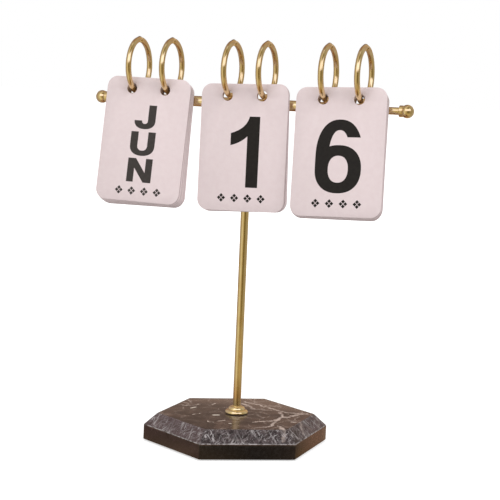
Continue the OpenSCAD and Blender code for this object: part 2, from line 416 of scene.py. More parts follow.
def honed_stone(tree, veins, ends):
    """The colour of the honed faces, and their scratches."""
    uv_mm = scaled(tree, add(tree, "UVMap", {}, uv_map="slope"), 1 / MM)
    scratch = 0.0
    for turn, fine in STREAKS:
        laid = add(tree, "Mapping", {"Vector": uv_mm, "Rotation": (0, 0, turn), "Scale": STREAK_STRETCH},
                   vector_type="TEXTURE")
        streak = noise(tree, laid, fine, detail=4.0, roughness=0.65, distortion=0.6)
        scratch = calc(tree, "MAXIMUM", scratch, ramp(tree, streak, 0.555, 0.65))
    patch = ramp(tree, noise(tree, uv_mm, 0.12, detail=4.0, roughness=0.6), 0.36, 0.60, 0.2, 1.0)
    scratch = times(tree, scratch, patch)
    smudge = ramp(tree, noise(tree, uv_mm, 0.33, detail=4.0, roughness=0.6), 0.35, 0.65)
    layers = ((ends, 0.36, HONED_MAUVE), (veins, 0.3, VEIN), (scratch, 0.85, WORN))
    return tinted(tree, blend(tree, smudge, HONED_DARK, HONED_PALE), layers), scratch


# %% Marble materials
# Limits of the roughness, relief, and specular level
POLISHED = ((0.12, 0.20), 0.012 * MM, 0.5)
HONED = ((0.42, 0.62), 0.09 * MM, 0.25)


def make_marble(name, honed):
    material, shader, tree = new_material(name)
    in_mm = scaled(tree, object_place(tree), 1 / MM)
    flat_place = vector(tree, "MULTIPLY", in_mm, (1, 1, 0))
    cloud = noise(tree, in_mm, 0.045, detail=6.0, roughness=0.62, distortion=1.2)
    speckle = noise(tree, in_mm, 0.55, detail=5.0, roughness=0.6)
    x_mm, y_mm, z_mm = add(tree, "SeparateXYZ", {0: in_mm}).node.outputs
    upper = ramp(tree, z_mm, *TOP)
    veins = times(tree, laid_veins(tree, in_mm, flat_place, cloud, y_mm), upper)
    height = times(tree, noise(tree, in_mm, 3.0, detail=3.0), 0.3)
    if honed:
        ends = calc(tree, "MAXIMUM", ramp(tree, x_mm, *LEFT), right_end(tree, x_mm, y_mm))
        stone, scratch = honed_stone(tree, veins, ends)
        height = calc(tree, "ADD", height, scratch)
    else:
        flecks = vein_mask(tree, flat_place, FLECKS, 1.2)
        stone = tinted(tree, brown_stone(tree, cloud, speckle, x_mm, y_mm, z_mm),
                       ((veins, 0.74, VEIN), (flecks, upper, FLECK)))
    roughness, relief, specular = HONED if honed else POLISHED
    fill(shader, {"Base Color": stone, "Roughness": ramp(tree, speckle, 0.3, 0.7, *roughness),
                  "Normal": bump(tree, height, relief, 0.7), "IOR": 1.48, "Specular IOR Level": specular})
    return material


def make_worn_edge():
    """The bruised arris round the stone, with crumbs of the dark stone between the white."""
    material, shader, tree = new_material("marble_arris")
    chips = ramp(tree, noise(tree, object_place(tree), 420.0, detail=5.0, roughness=0.65), 0.38, 0.62)
    fill(shader, {"Base Color": blend(tree, chips, CRUMB, WORN), "Roughness": 0.55,
                  "Normal": bump(tree, chips, 0.08 * MM, 0.8)})
    return material


marble_polished = make_marble("marble_polished", honed=False)
marble_honed = make_marble("marble_honed", honed=True)
marble_arris = make_worn_edge()
print("made", marble_polished.name, marble_honed.name, marble_arris.name)

# %% [markdown]
# ## Board, ink, rubber and zinc
# The cards are matt pink board: a coarse and a fine noise give its surface. Their cut edges take turns among
# three tones of painted shade, lit, half shaded and shaded, because no two cards in a packet lie equally deep
# in shade. The holes are painted a golden brown shade. The ink is a little smoother than the board, and the
# months' ink is painted lighter, a painted sheen. Under the flange is a ring of brown fibre, and under the
# stone, where nobody looks, are black rubber and zinc-plated steel.

# %% Small materials
def make_simple(name, first, second, scale, rough, metallic=0.0, grain=0.02, ior=1.45):
    """Two close colours mixed by noise, with roughness limits and a grain height in millimetres."""
    material, shader, tree = new_material(name)
    place = object_place(tree)
    mottle = ramp(tree, noise(tree, place, scale, detail=5.0), 0.3, 0.7)
    fine = noise(tree, place, scale * 6, detail=3.0)
    low, high = rough
    fill(shader, {"Base Color": blend(tree, mottle, (*first, 1), (*second, 1)),
                  "Roughness": calc(tree, "MULTIPLY_ADD", mottle, high - low, low),
                  "Normal": bump(tree, fine, grain * MM, 0.6), "Metallic": metallic, "IOR": ior})
    return material


board = make_simple("pink_board", (0.760, 0.645, 0.645), (0.742, 0.623, 0.624), 330.0, (0.6, 0.7),
                    grain=0.008)
# Painted shade on the cut edges: lit, half shaded and shaded copies of one edge colour
EDGE_PAINTED_SHADES = {"pale": (0.80, 0.69, 0.69), "middle": (0.68, 0.575, 0.57), "shaded": (0.42, 0.335, 0.335)}
painted_shade_edges = [make_simple("board_edge_" + name, tone, tuple(0.9 * c for c in tone), 900.0, (0.7, 0.85))
               for name, tone in EDGE_PAINTED_SHADES.items()]
# The holes' walls are painted shade, a golden brown
hole_painted_shade = make_simple("hole_painted_shade", (0.62, 0.43, 0.27), (0.46, 0.31, 0.18), 900.0, (0.6, 0.8))
INK = {"scale": 500.0, "rough": (0.5, 0.6), "grain": 0.004, "ior": 1.3}
digit_ink = make_simple("digit_ink", (0.010, 0.008, 0.007), (0.015, 0.013, 0.011), **INK)
# The months' ink is the figures' ink painted lighter: a painted sheen
month_ink_painted_sheen = make_simple("month_ink_painted_sheen", (0.040, 0.034, 0.031), (0.050, 0.043, 0.040), **INK)
fibre = make_simple("brown_fibre", (0.075, 0.045, 0.028), (0.050, 0.030, 0.020), 700.0, (0.6, 0.8),
                    grain=0.03)
rubber = make_simple("black_rubber", (0.012, 0.012, 0.013), (0.022, 0.021, 0.021), 700.0, (0.7, 0.9),
                     grain=0.05)
zinc = make_simple("zinc_plate", (0.62, 0.63, 0.64), (0.50, 0.51, 0.53), 500.0, (0.3, 0.42), metallic=1.0)
for node, material in (("post", brass), ("cross_tube", brass), ("clamp_washer", zinc), ("clamp_nut", zinc),
                       ("flange_gasket", fibre)):
    cad[node].data.materials.clear()
    cad[node].data.materials.append(material)
print("dressed the CAD nodes that keep their shape")

# %% [markdown]
# ## The marble foot
# A sawn hexagon with a 45 degree bevel, a hole for the post's stud and a pocket below for its nut. Think of
# it as a stack of closed outlines: bridge each outline to the next and the skin closes by itself. A hexagon
# can only be bridged neatly to a circle when both have as many points, so its sides are subdivided first.
# Two outlines in one plane can be bridged the wrong way round, so all stand well apart until they are
# joined.

# %% Outlines
HEX_SIDES = 6
OUTLINE_POINTS = 48
NEARLY = 0.05 * MM


def start_at(bm, outline, turn):
    """Turns an outline about the post until its first point lies at an angle."""
    start = math.atan2(outline[0].co.y, outline[0].co.x)
    bmesh.ops.rotate(bm, verts=outline, matrix=Matrix.Rotation(turn - start, 3, "Z"))


def add_outline(bm, radius, height, turn, sides):
    """A closed outline of 48 points with its first corner at an angle."""
    outline = bmesh.ops.create_circle(bm, segments=sides, radius=radius)["verts"]
    start_at(bm, outline, turn)
    shift(bm, (0, 0, height), outline)
    edges = edges_at(outline)
    cuts = OUTLINE_POINTS // sides - 1
    if cuts:
        edges = edges_at(points_in(bmesh.ops.subdivide_edges(bm, edges=edges, cuts=cuts)["geom_inner"]))
    return edges


def foot_levels():
    """The turn of the hexagon, and its outlines from the pocket round the outside and down the hole."""
    low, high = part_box("foot_stone")
    points = [v.co for v in cad["foot_stone"].data.vertices]
    pocket_r, *_, wall_r = rim_radii("foot_stone", low.z)
    hole_r, *_, top_r = rim_radii("foot_stone", high.z)
    wall_top = max(p.z for p in points if p.xy.length > wall_r - NEARLY)
    pocket_top = max(p.z for p in points if abs(p.xy.length - pocket_r) < NEARLY)
    corner = max(points, key=lambda p: p.xy.length)
    return math.atan2(corner.y, corner.x), [
        (pocket_r, low.z, OUTLINE_POINTS), (wall_r, low.z, HEX_SIDES), (wall_r, wall_top, HEX_SIDES),
        (top_r, high.z, HEX_SIDES), (hole_r, high.z, OUTLINE_POINTS), (hole_r, pocket_top, OUTLINE_POINTS),
        (pocket_r, pocket_top, OUTLINE_POINTS)]


foot_turn, foot_outlines = foot_levels()
print("foot: turn", round(math.degrees(foot_turn), 1), "outlines", len(foot_outlines))

# %% [markdown]
# The arrises are bevelled in three small steps, so that they catch light as worn edges do. Sloping faces
# get the honed finish, and the arris at their foot the bruised one. A UV map then lays each face flat along
# its slope, and gives the streaks a direction that Object coordinates cannot.

# %% Foot
ARRIS = 0.45 * MM
APART = 20 * MM
SLOPE_LIMITS = (0.35, 0.95)


def lay_slope_uv(bm, name):
    """Unrolls each face: U runs level along it and V runs up its slope, both in metres."""
    layer = bm.loops.layers.uv.new(name)
    for face in bm.faces:
        level = Vector((0, 0, 1)).cross(face.normal)
        level = level.normalized() if level.length > 0.1 else Vector((1, 0, 0))
        upward = face.normal.cross(level)
        for loop in face.loops:
            loop[layer].uv = (loop.vert.co.dot(level), loop.vert.co.dot(upward))


def make_foot():
    bm = bmesh.new()
    rows = [add_outline(bm, radius, height + level * APART, foot_turn, sides)
            for level, (radius, height, sides) in enumerate(foot_outlines)]
    for row, following in zip(rows, rows[1:] + rows[:1]):
        bmesh.ops.bridge_loops(bm, edges=row + following)
    for level, row in enumerate(rows):
        points = dict.fromkeys(point for edge in row for point in edge.verts)
        shift(bm, (0, 0, -level * APART), list(points))
    bm.normal_update()
    face_outward(bm)
    print("foot in cubic mm:", round(bm.calc_volume(signed=True) / MM ** 3))
    wall_r, wall_top = foot_outlines[2][:2]
    arrises = sharp_edges(bm, 20, lambda edge: min(v.co.xy.length for v in edge.verts) > wall_r / 2)
    worn = soften(bm, arrises, ARRIS, segments=3)
    for face in bm.faces:
        slopes = SLOPE_LIMITS[0] < face.normal.z < SLOPE_LIMITS[1]
        face.material_index = 1 if slopes and face.calc_center_median().xy.length > wall_r / 2 else 0
    for face in worn:
        if abs(face.calc_center_median().z - wall_top) < 0.6 * ARRIS:
            face.material_index = 2
    lay_slope_uv(bm, "slope")
    return finish_piece(bm, "marble_foot", "stand", [marble_polished, marble_honed, marble_arris],
                        ["foot_stone"])


make_foot()

# %% [markdown]
# ## The rubber sheet
# A thin rubber sheet keeps the stone off the desk. It is the same hexagon, a little smaller, with a
# softened rim.

# %% Rubber sheet
SHEET_ROUND = 0.2 * MM


def make_sheet():
    low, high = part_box("foot_pad")
    radius = max(v.co.xy.length for v in cad["foot_pad"].data.vertices)
    bm = bmesh.new()
    hexagon = bmesh.ops.create_circle(bm, cap_ends=True, segments=HEX_SIDES, radius=radius)["verts"]
    start_at(bm, hexagon, foot_turn)
    thicken(bm, high.z - low.z)
    soften(bm, sharp_edges(bm, 20), SHEET_ROUND)
    return finish_piece(bm, "rubber_sheet", "stand", [rubber], ["foot_pad"])


make_sheet()

# %% [markdown]
# ## Turned brass
# On a lathe a shape is a profile that goes once round. Here the profile is a row of points, `spin` turns it
# in 96 steps, and `use_merge` joins the last step to the first. Where a profile ends on the axis its points
# fall together, so doubles are merged.

# %% Lathe
SPIN_STEPS = 96


def lathe(profile, axis, closed):
    """Spins a profile of (distance along the axis, radius) points round an axis through the origin."""
    bm = bmesh.new()
    side = Vector((0, 0, 1)) if axis.x else Vector((1, 0, 0))
    points = [bm.verts.new(axis * along + side * radius) for along, radius in profile]
    pairs = list(zip(points, points[1:])) + ([(points[-1], points[0])] if closed else [])
    edges = [bm.edges.new(pair) for pair in pairs]
    bmesh.ops.spin(bm, geom=points + edges, axis=axis, cent=(0, 0, 0), angle=math.tau, steps=SPIN_STEPS,
                   use_merge=True)
    bmesh.ops.remove_doubles(bm, verts=bm.verts, dist=SAME_SPOT)
    face_outward(bm)
    return bm


def arc(centre, radius, start, end, steps):
    """Points of a circle as (along, radius), from one angle to another in radians."""
    angles = [start + (end - start) * k / steps for k in range(steps + 1)]
    return [(centre[0] + radius * math.cos(a), centre[1] + radius * math.sin(a)) for a in angles]


# %% [markdown]
# The flange spreads the post's pull over the stone. It is turned in two steps, a rim with a round edge and
# a low dome that rises to a thin neck, with a fine groove from the tool where they meet. Inside, a ledge
# carries the post's shoulder. Its place, width and bores come from the CAD node.

# %% Flange
FLANGE_RIM_T = 2.2 * MM
LOWER_ROUND = 0.3 * MM
UPPER_ROUND = 1.8 * MM
DOME_R = 5.2 * MM
DOME_H = 2.1 * MM
NECK_H = 0.3 * MM
TURNED_GROOVE = 0.15 * MM
DOME_STEPS = 14


def make_flange():
    low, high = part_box("post_flange")
    bore_r, neck_r = rim_radii("post_flange", high.z)
    stud_r = rim_radii("post_flange", low.z)[0]
    rim_top = low.z + FLANGE_RIM_T
    rim = arc((low.z + LOWER_ROUND, high.x - LOWER_ROUND), LOWER_ROUND, math.pi, math.pi / 2, steps=6)
    rim += arc((rim_top - UPPER_ROUND, high.x - UPPER_ROUND), UPPER_ROUND, math.pi / 2, 0.0, steps=14)
    groove = [(rim_top, DOME_R + TURNED_GROOVE), (rim_top - TURNED_GROOVE, DOME_R)]
    angles = [math.pi / 2 * k / DOME_STEPS for k in range(DOME_STEPS + 1)]
    dome = [(rim_top + DOME_H * math.sin(a), neck_r + (DOME_R - neck_r) * math.cos(a)) for a in angles]
    top = rim_top + DOME_H + NECK_H
    lip = [(top - TURNED_GROOVE, neck_r), (top, neck_r - TURNED_GROOVE)]
    bore = [(top, bore_r), (rim_top, bore_r), (rim_top, stud_r), (low.z, stud_r)]
    bm = lathe(rim + groove + dome + lip + bore, Vector((0, 0, 1)), closed=True)
    return finish_piece(bm, "turned_flange", "stand", [brass_painted_paler], ["post_flange"])


make_flange()

# %% [markdown]
# An end ball is turned from one rod with its collar and its stem. A shallow groove between ball and collar
# holds a dark line of shade. The stem's inner end is chamfered, because it is pressed into the tube.

# %% End balls
BALL_D = 8.0 * MM
COLLAR_D = 6.9 * MM
COLLAR_T = 0.7 * MM
STEM_D = 4.5 * MM
GROOVE = 0.25 * MM
CHAMFER = 0.3 * MM


def ball_profile(inner_end, outer_end):
    """Profile from the hidden end of the stem to the ball's tip."""
    radius = BALL_D / 2
    middle = outer_end - radius
    collar_in = middle - radius - COLLAR_T
    neck_r = COLLAR_D / 2 - GROOVE
    start = math.pi - math.asin(neck_r / radius)
    ball = arc((middle, 0), radius, start, 0, steps=40)
    return [(inner_end, 0), (inner_end, STEM_D / 2 - CHAMFER), (inner_end + CHAMFER, STEM_D / 2),
            (collar_in, STEM_D / 2), (collar_in, COLLAR_D / 2 - GROOVE), (collar_in + GROOVE, COLLAR_D / 2),
            (ball[0][0] - GROOVE, COLLAR_D / 2)] + ball[:-1] + [(outer_end, 0)]


for name in ("finial_left", "finial_right"):
    low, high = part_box(name)
    left = high.x < 0
    ends = (-high.x, -low.x) if left else (low.x, high.x)
    ball = lathe(ball_profile(*ends), Vector((1, 0, 0)), closed=False)
    if left:
        bmesh.ops.rotate(ball, verts=ball.verts, matrix=Matrix.Rotation(math.pi, 3, "Z"))
    shift(ball, (0, 0, (low.z + high.z) / 2))
    finish_piece(ball, name.replace("finial", "end_ball"), "stand", [brass], [name])

# %% [markdown]
# ## The open rings
# Each ring is one length of wire, bent round until its straight front end nearly meets its rear end. A
# small circle spun almost all the way round gives the bend, an extrusion the straight end, and a bevel
# takes the burr off both cuts. The ring stands in the YZ plane, with its front at -Y and its opening at the
# top.

# %% Bent wire
WIRE_D = 3.5 * MM
STRAIGHT = math.radians(15)
SPLIT = math.radians(3)
BURR = 0.3 * MM
WIRE_SIDES = 28
BEND_STEPS = 110


def make_wire(radius):
    bm = bmesh.new()
    section = bmesh.ops.create_circle(bm, segments=WIRE_SIDES, radius=WIRE_D / 2)["verts"]
    shift(bm, (0, -radius, 0), section)
    to_front_end = Matrix.Rotation(STRAIGHT - math.pi / 2, 3, "X")
    bmesh.ops.rotate(bm, verts=section, matrix=to_front_end)
    front = edges_at(section)
    rear = bmesh.ops.spin(bm, geom=section + front, axis=(1, 0, 0), cent=(0, 0, 0), steps=BEND_STEPS,
                          angle=math.tau - STRAIGHT - SPLIT)["geom_last"]
    straight = bmesh.ops.extrude_edge_only(bm, edges=front)["geom"]
    tip = points_in(straight)
    shift(bm, to_front_end @ Vector((0, 0, 1)) * radius * math.tan(STRAIGHT), tip)
    for end in (edges_in(rear), [edge for edge in edges_in(straight) if set(edge.verts) <= set(tip)]):
        bmesh.ops.contextual_create(bm, geom=end)
    face_outward(bm)
    soften(bm, sharp_edges(bm, 60), BURR)
    return bm


# %% [markdown]
# A bead of solder climbs the wire a little. A Boolean union joins the two, so that the skin stays in one
# piece. One ring is made at the origin and copied to the six places that the CAD nodes give.

# %% Solder and union
BEAD_D = 4.8 * MM
BEAD_STRETCH = (1.0, 1.15, 0.92)


def united(first, second):
    """Joins two closed shapes and gives the result as a bmesh."""
    body, tool = as_object(first, "union_body"), as_object(second, "union_tool")
    union = body.modifiers.new("union", "BOOLEAN")
    union.operation = "UNION"
    union.solver = "EXACT"
    union.object = tool
    bpy.context.view_layer.update()
    result = bmesh.new()
    result.from_object(body, bpy.context.evaluated_depsgraph_get())
    for spent in (body, tool):
        bpy.data.objects.remove(spent)
    return result


def make_bead(radius):
    bm = bmesh.new()
    bmesh.ops.create_uvsphere(bm, u_segments=40, v_segments=20, radius=BEAD_D / 2)
    bmesh.ops.scale(bm, verts=bm.verts, vec=BEAD_STRETCH)
    shift(bm, (0, 0, -radius))
    return bm


# %% Rings
low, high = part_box("ring_months_left")
ring_r = (high.y - low.y) / 2 - WIRE_D / 2
ring_z = frame["joints"][0]["pos_m"][2]
ring = united(make_wire(ring_r), make_bead(ring_r))
shift(ring, (0, 0, ring_z))
print("ring radius in mm:", round(ring_r / MM, 2), "centre height:", round(ring_z / MM, 2))
for name in sorted(n for n in cad if n.startswith("ring_")):
    low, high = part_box(name)
    placed = ring.copy()
    shift(placed, ((low.x + high.x) / 2, 0, 0))
    finish_piece(placed, name.replace("ring", "open_ring"), "stand", [brass], [name])
ring.free()

# %% [markdown]
# ## Where does a card lie?
# Each of the 26 cards leans and turns a little in its own way. A merged copy of its CAD mesh tells how: the
# largest face towards the reader looks straight out of the card, and the longest sharp edge runs up its
# side. With those and the middle of the card, every card can be made flat and then placed.

# %% A card's own frame
def card_frame(node):
    """A matrix that places a flat card, and the card's width, height and thickness."""
    bm = bmesh.new()
    bm.from_mesh(cad[node].data)
    bmesh.ops.remove_doubles(bm, verts=bm.verts, dist=SAME_SPOT)
    out = max((f for f in bm.faces if f.normal.y < 0), key=lambda f: f.calc_area()).normal.copy()
    side = max(sharp_edges(bm, 60), key=lambda e: e.calc_length())
    up = (side.verts[1].co - side.verts[0].co).normalized()
    up = up if up.z > 0 else -up
    right = up.cross(out)
    turned = Matrix((right, up, out))
    local = [turned @ v.co for v in bm.verts]
    bm.free()
    low = Vector([min(p[k] for p in local) for k in range(3)])
    high = Vector([max(p[k] for p in local) for k in range(3)])
    middle = turned.transposed() @ ((low + high) / 2)
    return Matrix.Translation(middle) @ turned.transposed().to_4x4(), high - low


place, extent = card_frame("card_tens_1")
print("card in mm:", [round(c / MM, 2) for c in extent])

# %% [markdown]
# ## A punched card
# Stamped board, 0.46 mm thick. A rectangle with its corners rounded by a vertex bevel and two circles for
# the holes make the outline, `triangle_fill` fills it round the holes, and one extrusion gives it its
# thickness. A hair of a bevel round both faces shows where the punch pressed the board down.

# %% Card blank
CARD_CORNER = 6.5 * MM
HOLE_D = 6.6 * MM
HOLE_MARGIN = 7.1 * MM
HOLE_GAP = 22.2 * MM
PRESSED = 0.07 * MM
CORNER_STEPS = 10
HOLE_STEPS = 36


def make_blank(extent):
    """A card round the origin, facing +Z, with material 1 on its cut edges and 2 in its holes."""
    width, height, thick = extent
    bm = bmesh.new()
    bmesh.ops.create_grid(bm, x_segments=1, y_segments=1, size=0.5)
    bmesh.ops.scale(bm, verts=bm.verts, vec=(width, height, 1))
    bmesh.ops.bevel(bm, geom=bm.verts[:], offset=CARD_CORNER, segments=CORNER_STEPS, profile=0.5,
                    affect="VERTICES", material=-1)
    bmesh.ops.delete(bm, geom=bm.faces[:], context="FACES_ONLY")
    for side in (-1, 1):
        hole = bmesh.ops.create_circle(bm, segments=HOLE_STEPS, radius=HOLE_D / 2)["verts"]
        shift(bm, (side * HOLE_GAP / 2, height / 2 - HOLE_MARGIN, 0), hole)
    bmesh.ops.triangle_fill(bm, use_beauty=True, edges=bm.edges[:])
    shift(bm, (0, 0, -thick / 2))
    thicken(bm, thick)
    rims = sharp_edges(bm, 60, lambda edge: abs(edge.verts[0].co.z - edge.verts[1].co.z) < thick / 2)
    soften(bm, rims, PRESSED)
    for face in bm.faces:
        across, up = face.calc_center_median().xy
        in_hole = math.hypot(abs(across) - HOLE_GAP / 2, up - height / 2 + HOLE_MARGIN) < HOLE_D / 2 + PRESSED
        face.material_index = 0 if abs(face.normal.z) > 0.5 else 2 if in_hole else 1
    return bm


blank = make_blank(extent)
print("one blank:", len(blank.faces), "faces")
blank.free()

# %% [markdown]
# ## A stencil alphabet
# The dates are set in a heavy sans-serif. No font file is needed: a few plain strokes draw every sign. A
# `box` is an upright bar and a `bow` a part of an oval ring with thick sides and a thinner top, cut level
# at its ends; any other stroke is a list of corners. All are measured in heights of the sign, so one table
# serves every size.

# %% Strokes
SQUARENESS = 0.88
LEVEL_LIMIT = 0.9


def swell(value):
    """Makes a circle a little squarer, as in printers' type."""
    return math.copysign(abs(value) ** SQUARENESS, value)


def unswell(value):
    return math.copysign(min(abs(value), 1.0) ** (1 / SQUARENESS), value)


def bow(cx, cy, rx, ry, start, end, side, cap, steps=26):
    """A band of an oval from start to end in degrees. side and cap are its thickness there."""
    def level(angle):
        """The inner angle at the height of the outer one, or the same angle near the top and bottom."""
        a = math.radians(angle)
        rise = unswell(swell(math.sin(a)) * ry / (ry - cap))
        if abs(rise) > LEVEL_LIMIT:
            return a
        inner = math.asin(rise)
        near = inner if math.cos(a) > 0 else math.pi - inner
        return near + math.tau * round((a - near) / math.tau)

    def side_of_oval(first, last, x_radius, y_radius):
        turns = [first + (last - first) * k / steps for k in range(steps + 1)]
        return [(cx + x_radius * swell(math.cos(t)), cy + y_radius * swell(math.sin(t))) for t in turns]

    outside = side_of_oval(math.radians(start), math.radians(end), rx, ry)
    return outside + side_of_oval(level(end), level(start), rx - side, ry - cap)


def box(x0, y0, x1, y1):
    return [(x0, y0), (x1, y0), (x1, y1), (x0, y1)]


def bend(first, pull, last, steps=12):
    """Points of a curve from first to last that is pulled towards a third point."""
    shares = [k / steps for k in range(steps + 1)]
    return [tuple((1 - s) ** 2 * f + 2 * s * (1 - s) * p + s * s * e for f, p, e in zip(first, pull, last))
            for s in shares]


# %% [markdown]
# The figures are 0.66 heights wide. Nine is a six turned round, and nought and eight are full ovals in two
# halves. S is the thickness of a side and C that of a cap.

# %% Figures
FIGURE_W = 0.66
S, C = 0.187, 0.147


def oval(cx, cy, rx, ry, side, cap):
    """A full ring, as two halves that share their ends."""
    return [bow(cx, cy, rx, ry, start, start + 180, side, cap) for start in (0, 180)]


SIX = [*oval(0.33, 0.323, 0.33, 0.333, S, C), box(0, 0.32, S, 0.49),
       bow(0.335, 0.49, 0.335, 0.52, 29, 180, S, C)]
FIGURES = {
    "0": oval(0.33, 0.5, 0.33, 0.51, S, C),
    "1": [[(0.389, 0), (0.569, 0), (0.569, 1), (0.413, 1), *bend((0.413, 1), (0.373, 0.83), (0.14, 0.762)),
           (0.14, 0.59), *bend((0.14, 0.59), (0.30, 0.63), (0.389, 0.723))]],
    "2": [bow(0.33, 0.69, 0.325, 0.32, 0, 176, S, C), box(0, 0, 0.66, 0.147),
          [*bend((0.655, 0.69), (0.655, 0.53), (0.44, 0.34), 16), (0.235, 0.14), (0, 0.14),
           *bend((0, 0.14), (0.04, 0.26), (0.28, 0.43), 10),
           *bend((0.28, 0.43), (0.468, 0.56), (0.468, 0.69), 12)]],
    "3": [bow(0.32, 0.735, 0.305, 0.275, -90, 172, S, C), bow(0.325, 0.29, 0.33, 0.30, -172, 90, S, C),
          box(0.21, 0.453, 0.34, 0.596)],
    "4": [box(0.40, 0, 0.575, 1), box(0, 0.2, 0.67, 0.342),
          [(0, 0.2), (0.19, 0.33), (0.42, 0.73), (0.42, 1), (0.38, 1), (0, 0.36)]],
    "5": [box(0.10, 0.86, 0.61, 1), [(0.10, 1), (0.03, 0.46), (0.19, 0.44), (0.25, 0.87)],
          bow(0.325, 0.32, 0.335, 0.33, -172, 140, S, C)],
    "6": SIX,
    "7": [box(0, 0.855, 0.66, 1), [(0.66, 0.9), *bend((0.66, 0.87), (0.36, 0.5), (0.32, 0), 14), (0.125, 0),
                                   *bend((0.125, 0), (0.17, 0.5), (0.47, 0.87), 14)]],
    "8": [*oval(0.33, 0.745, 0.305, 0.265, S, 0.14), *oval(0.33, 0.302, 0.33, 0.312, S, C)],
    "9": [[(FIGURE_W - x, 1 - y) for x, y in stroke] for stroke in SIX],
}
print("figures:", " ".join(FIGURES))

# %% [markdown]
# The months' letters are lower and wider. T is the thickness of a stem, a third of their height, and B that
# of a bar.

# %% Letters
T, B = 0.335, 0.22
STEM = box(0, 0, T, 1)


def leaning(x0, x1, wide, foot=0.0):
    """A straight stroke from x0 at the foot to x1 at the head."""
    return [(x0, foot), (x0 + wide, foot), (x1 + wide, 1), (x1, 1)]


LETTERS = {
    "A": [leaning(0, 0.40, 0.34), leaning(0.86, 0.46, 0.34), box(0.27, 0.19, 0.93, 0.39)],
    "B": [STEM, bow(0.58, 0.735, 0.46, 0.265, -90, 90, T, 0.2),
          bow(0.60, 0.28, 0.50, 0.28, -90, 90, T, 0.2),
          box(0.2, 0.8, 0.6, 1), box(0.2, 0, 0.61, 0.2), box(0.2, 0.415, 0.61, 0.60)],
    "C": [bow(0.56, 0.5, 0.56, 0.51, 34, 326, T, B)],
    "D": [STEM, bow(0.54, 0.5, 0.57, 0.5, -90, 90, T, B), box(0.2, 0, 0.55, B), box(0.2, 1 - B, 0.55, 1)],
    "E": [STEM, box(0.2, 0, 1.0, B), box(0.2, 0.395, 0.93, 0.605), box(0.2, 1 - B, 1.0, 1)],
    "F": [STEM, box(0.2, 0.36, 0.90, 0.575), box(0.2, 1 - B, 0.97, 1)],
    "G": [bow(0.56, 0.5, 0.56, 0.51, 36, 340, T, B), box(0.58, 0.36, 1.12, 0.56), box(0.86, 0.04, 1.12, 0.5)],
    "J": [bow(0.475, 0.345, 0.475, 0.355, 180, 360, 0.345, B), box(0.605, 0.34, 0.95, 1)],
    "L": [STEM, box(0.2, 0, 0.98, 0.24)],
    "M": [box(0, 0, 0.31, 1), box(1.06, 0, 1.37, 1), [(0, 1), (0.40, 1), (0.83, 0), (0.54, 0)],
          [(1.37, 1), (0.97, 1), (0.54, 0), (0.83, 0)]],
    "N": [box(0, 0, 0.31, 1), box(0.805, 0, 1.115, 1), [(0, 1), (0.35, 1), (1.115, 0), (0.765, 0)]],
    "O": oval(0.57, 0.5, 0.57, 0.51, T, B),
    "P": [STEM, bow(0.58, 0.675, 0.47, 0.325, -90, 90, T, B), box(0.2, 1 - B, 0.6, 1),
          box(0.2, 0.35, 0.6, 0.56)],
    "R": [STEM, bow(0.58, 0.69, 0.47, 0.31, -90, 90, T, B), box(0.2, 1 - B, 0.6, 1),
          box(0.2, 0.38, 0.6, 0.59), [(0.42, 0.5), (0.82, 0.5), (1.13, 0), (0.75, 0)]],
    "S": [bow(0.53, 0.705, 0.50, 0.305, 20, 272, T, B), bow(0.53, 0.305, 0.53, 0.315, 200, 452, T, B)],
    "T": [box(0, 1 - B, 1.08, 1), box(0.37, 0, 0.71, 1)],
    "U": [box(0, 0.42, T, 1), box(0.78, 0.42, 1.115, 1), bow(0.5575, 0.42, 0.5575, 0.43, 180, 360, T, B)],
    "V": [leaning(0.42, 0, 0.35), leaning(0.42, 0.84, 0.35)],
    "Y": [leaning(0.40, 0, 0.37, 0.38), leaning(0.40, 0.80, 0.37, 0.38), box(0.40, 0, 0.77, 0.52)],
}
print("letters:", " ".join(LETTERS))

# %% [markdown]
# ## Printing
# Overlapping strokes have to become one clean film of ink. `delaunay_2d_cdt` cuts them where they cross and
# tells for each triangle which strokes cover it; triangles that none covers are the counters, and are left
# out. The film is then extruded by a few hundredths of a millimetre and laid on the card's face.

# %% Ink film
INK_T = 0.03 * MM
SUNK = 0.005 * MM
# The cutter keeps what lies inside a stroke, and joins points within a tolerance in millimetres
CUT_INSIDE, CUT_TOLERANCE = 1, 1e-5


def anticlockwise(shape):
    """The same outline with its points running anticlockwise, as the cutter wants them."""
    twice_area = sum(a[0] * b[1] - b[0] * a[1] for a, b in zip(shape, shape[1:] + shape[:1]))
    return shape if twice_area > 0 else shape[::-1]


def ink_film(signs, face_height):
    """A thin solid from placed signs: each is a list of strokes, a size, and the middle of its box."""
    points, strokes = [], []
    for shapes, size, middle in signs:
        flat = [p for shape in shapes for p in shape]
        centre = [(min(p[k] for p in flat) + max(p[k] for p in flat)) / 2 for k in (0, 1)]
        for shape in shapes:
            strokes.append(list(range(len(points), len(points) + len(shape))))
            for p in anticlockwise(shape):
                points.append(Vector((middle[k] + (p[k] - centre[k]) * size for k in (0, 1))))
    found = delaunay_2d_cdt([p / MM for p in points], [], strokes, CUT_INSIDE, CUT_TOLERANCE, True)
    spots, faces, covered_by = found[0], found[2], found[5]
    bm = bmesh.new()
    verts = [bm.verts.new((p.x * MM, p.y * MM, 0)) for p in spots]
    for face, covers in zip(faces, covered_by):
        if covers:
            bm.faces.new([verts[k] for k in face])
    bmesh.ops.delete(bm, geom=[v for v in bm.verts if not v.link_faces], context="VERTS")
    face_outward(bm)
    thicken(bm, INK_T + SUNK)
    shift(bm, (0, 0, face_height - SUNK))
    return bm


# %% [markdown]
# A month card carries three letters, one under the other, and a day card one tall figure. Below them stands
# a row of four small ornaments: each is a lozenge cut in four by a thin cross.

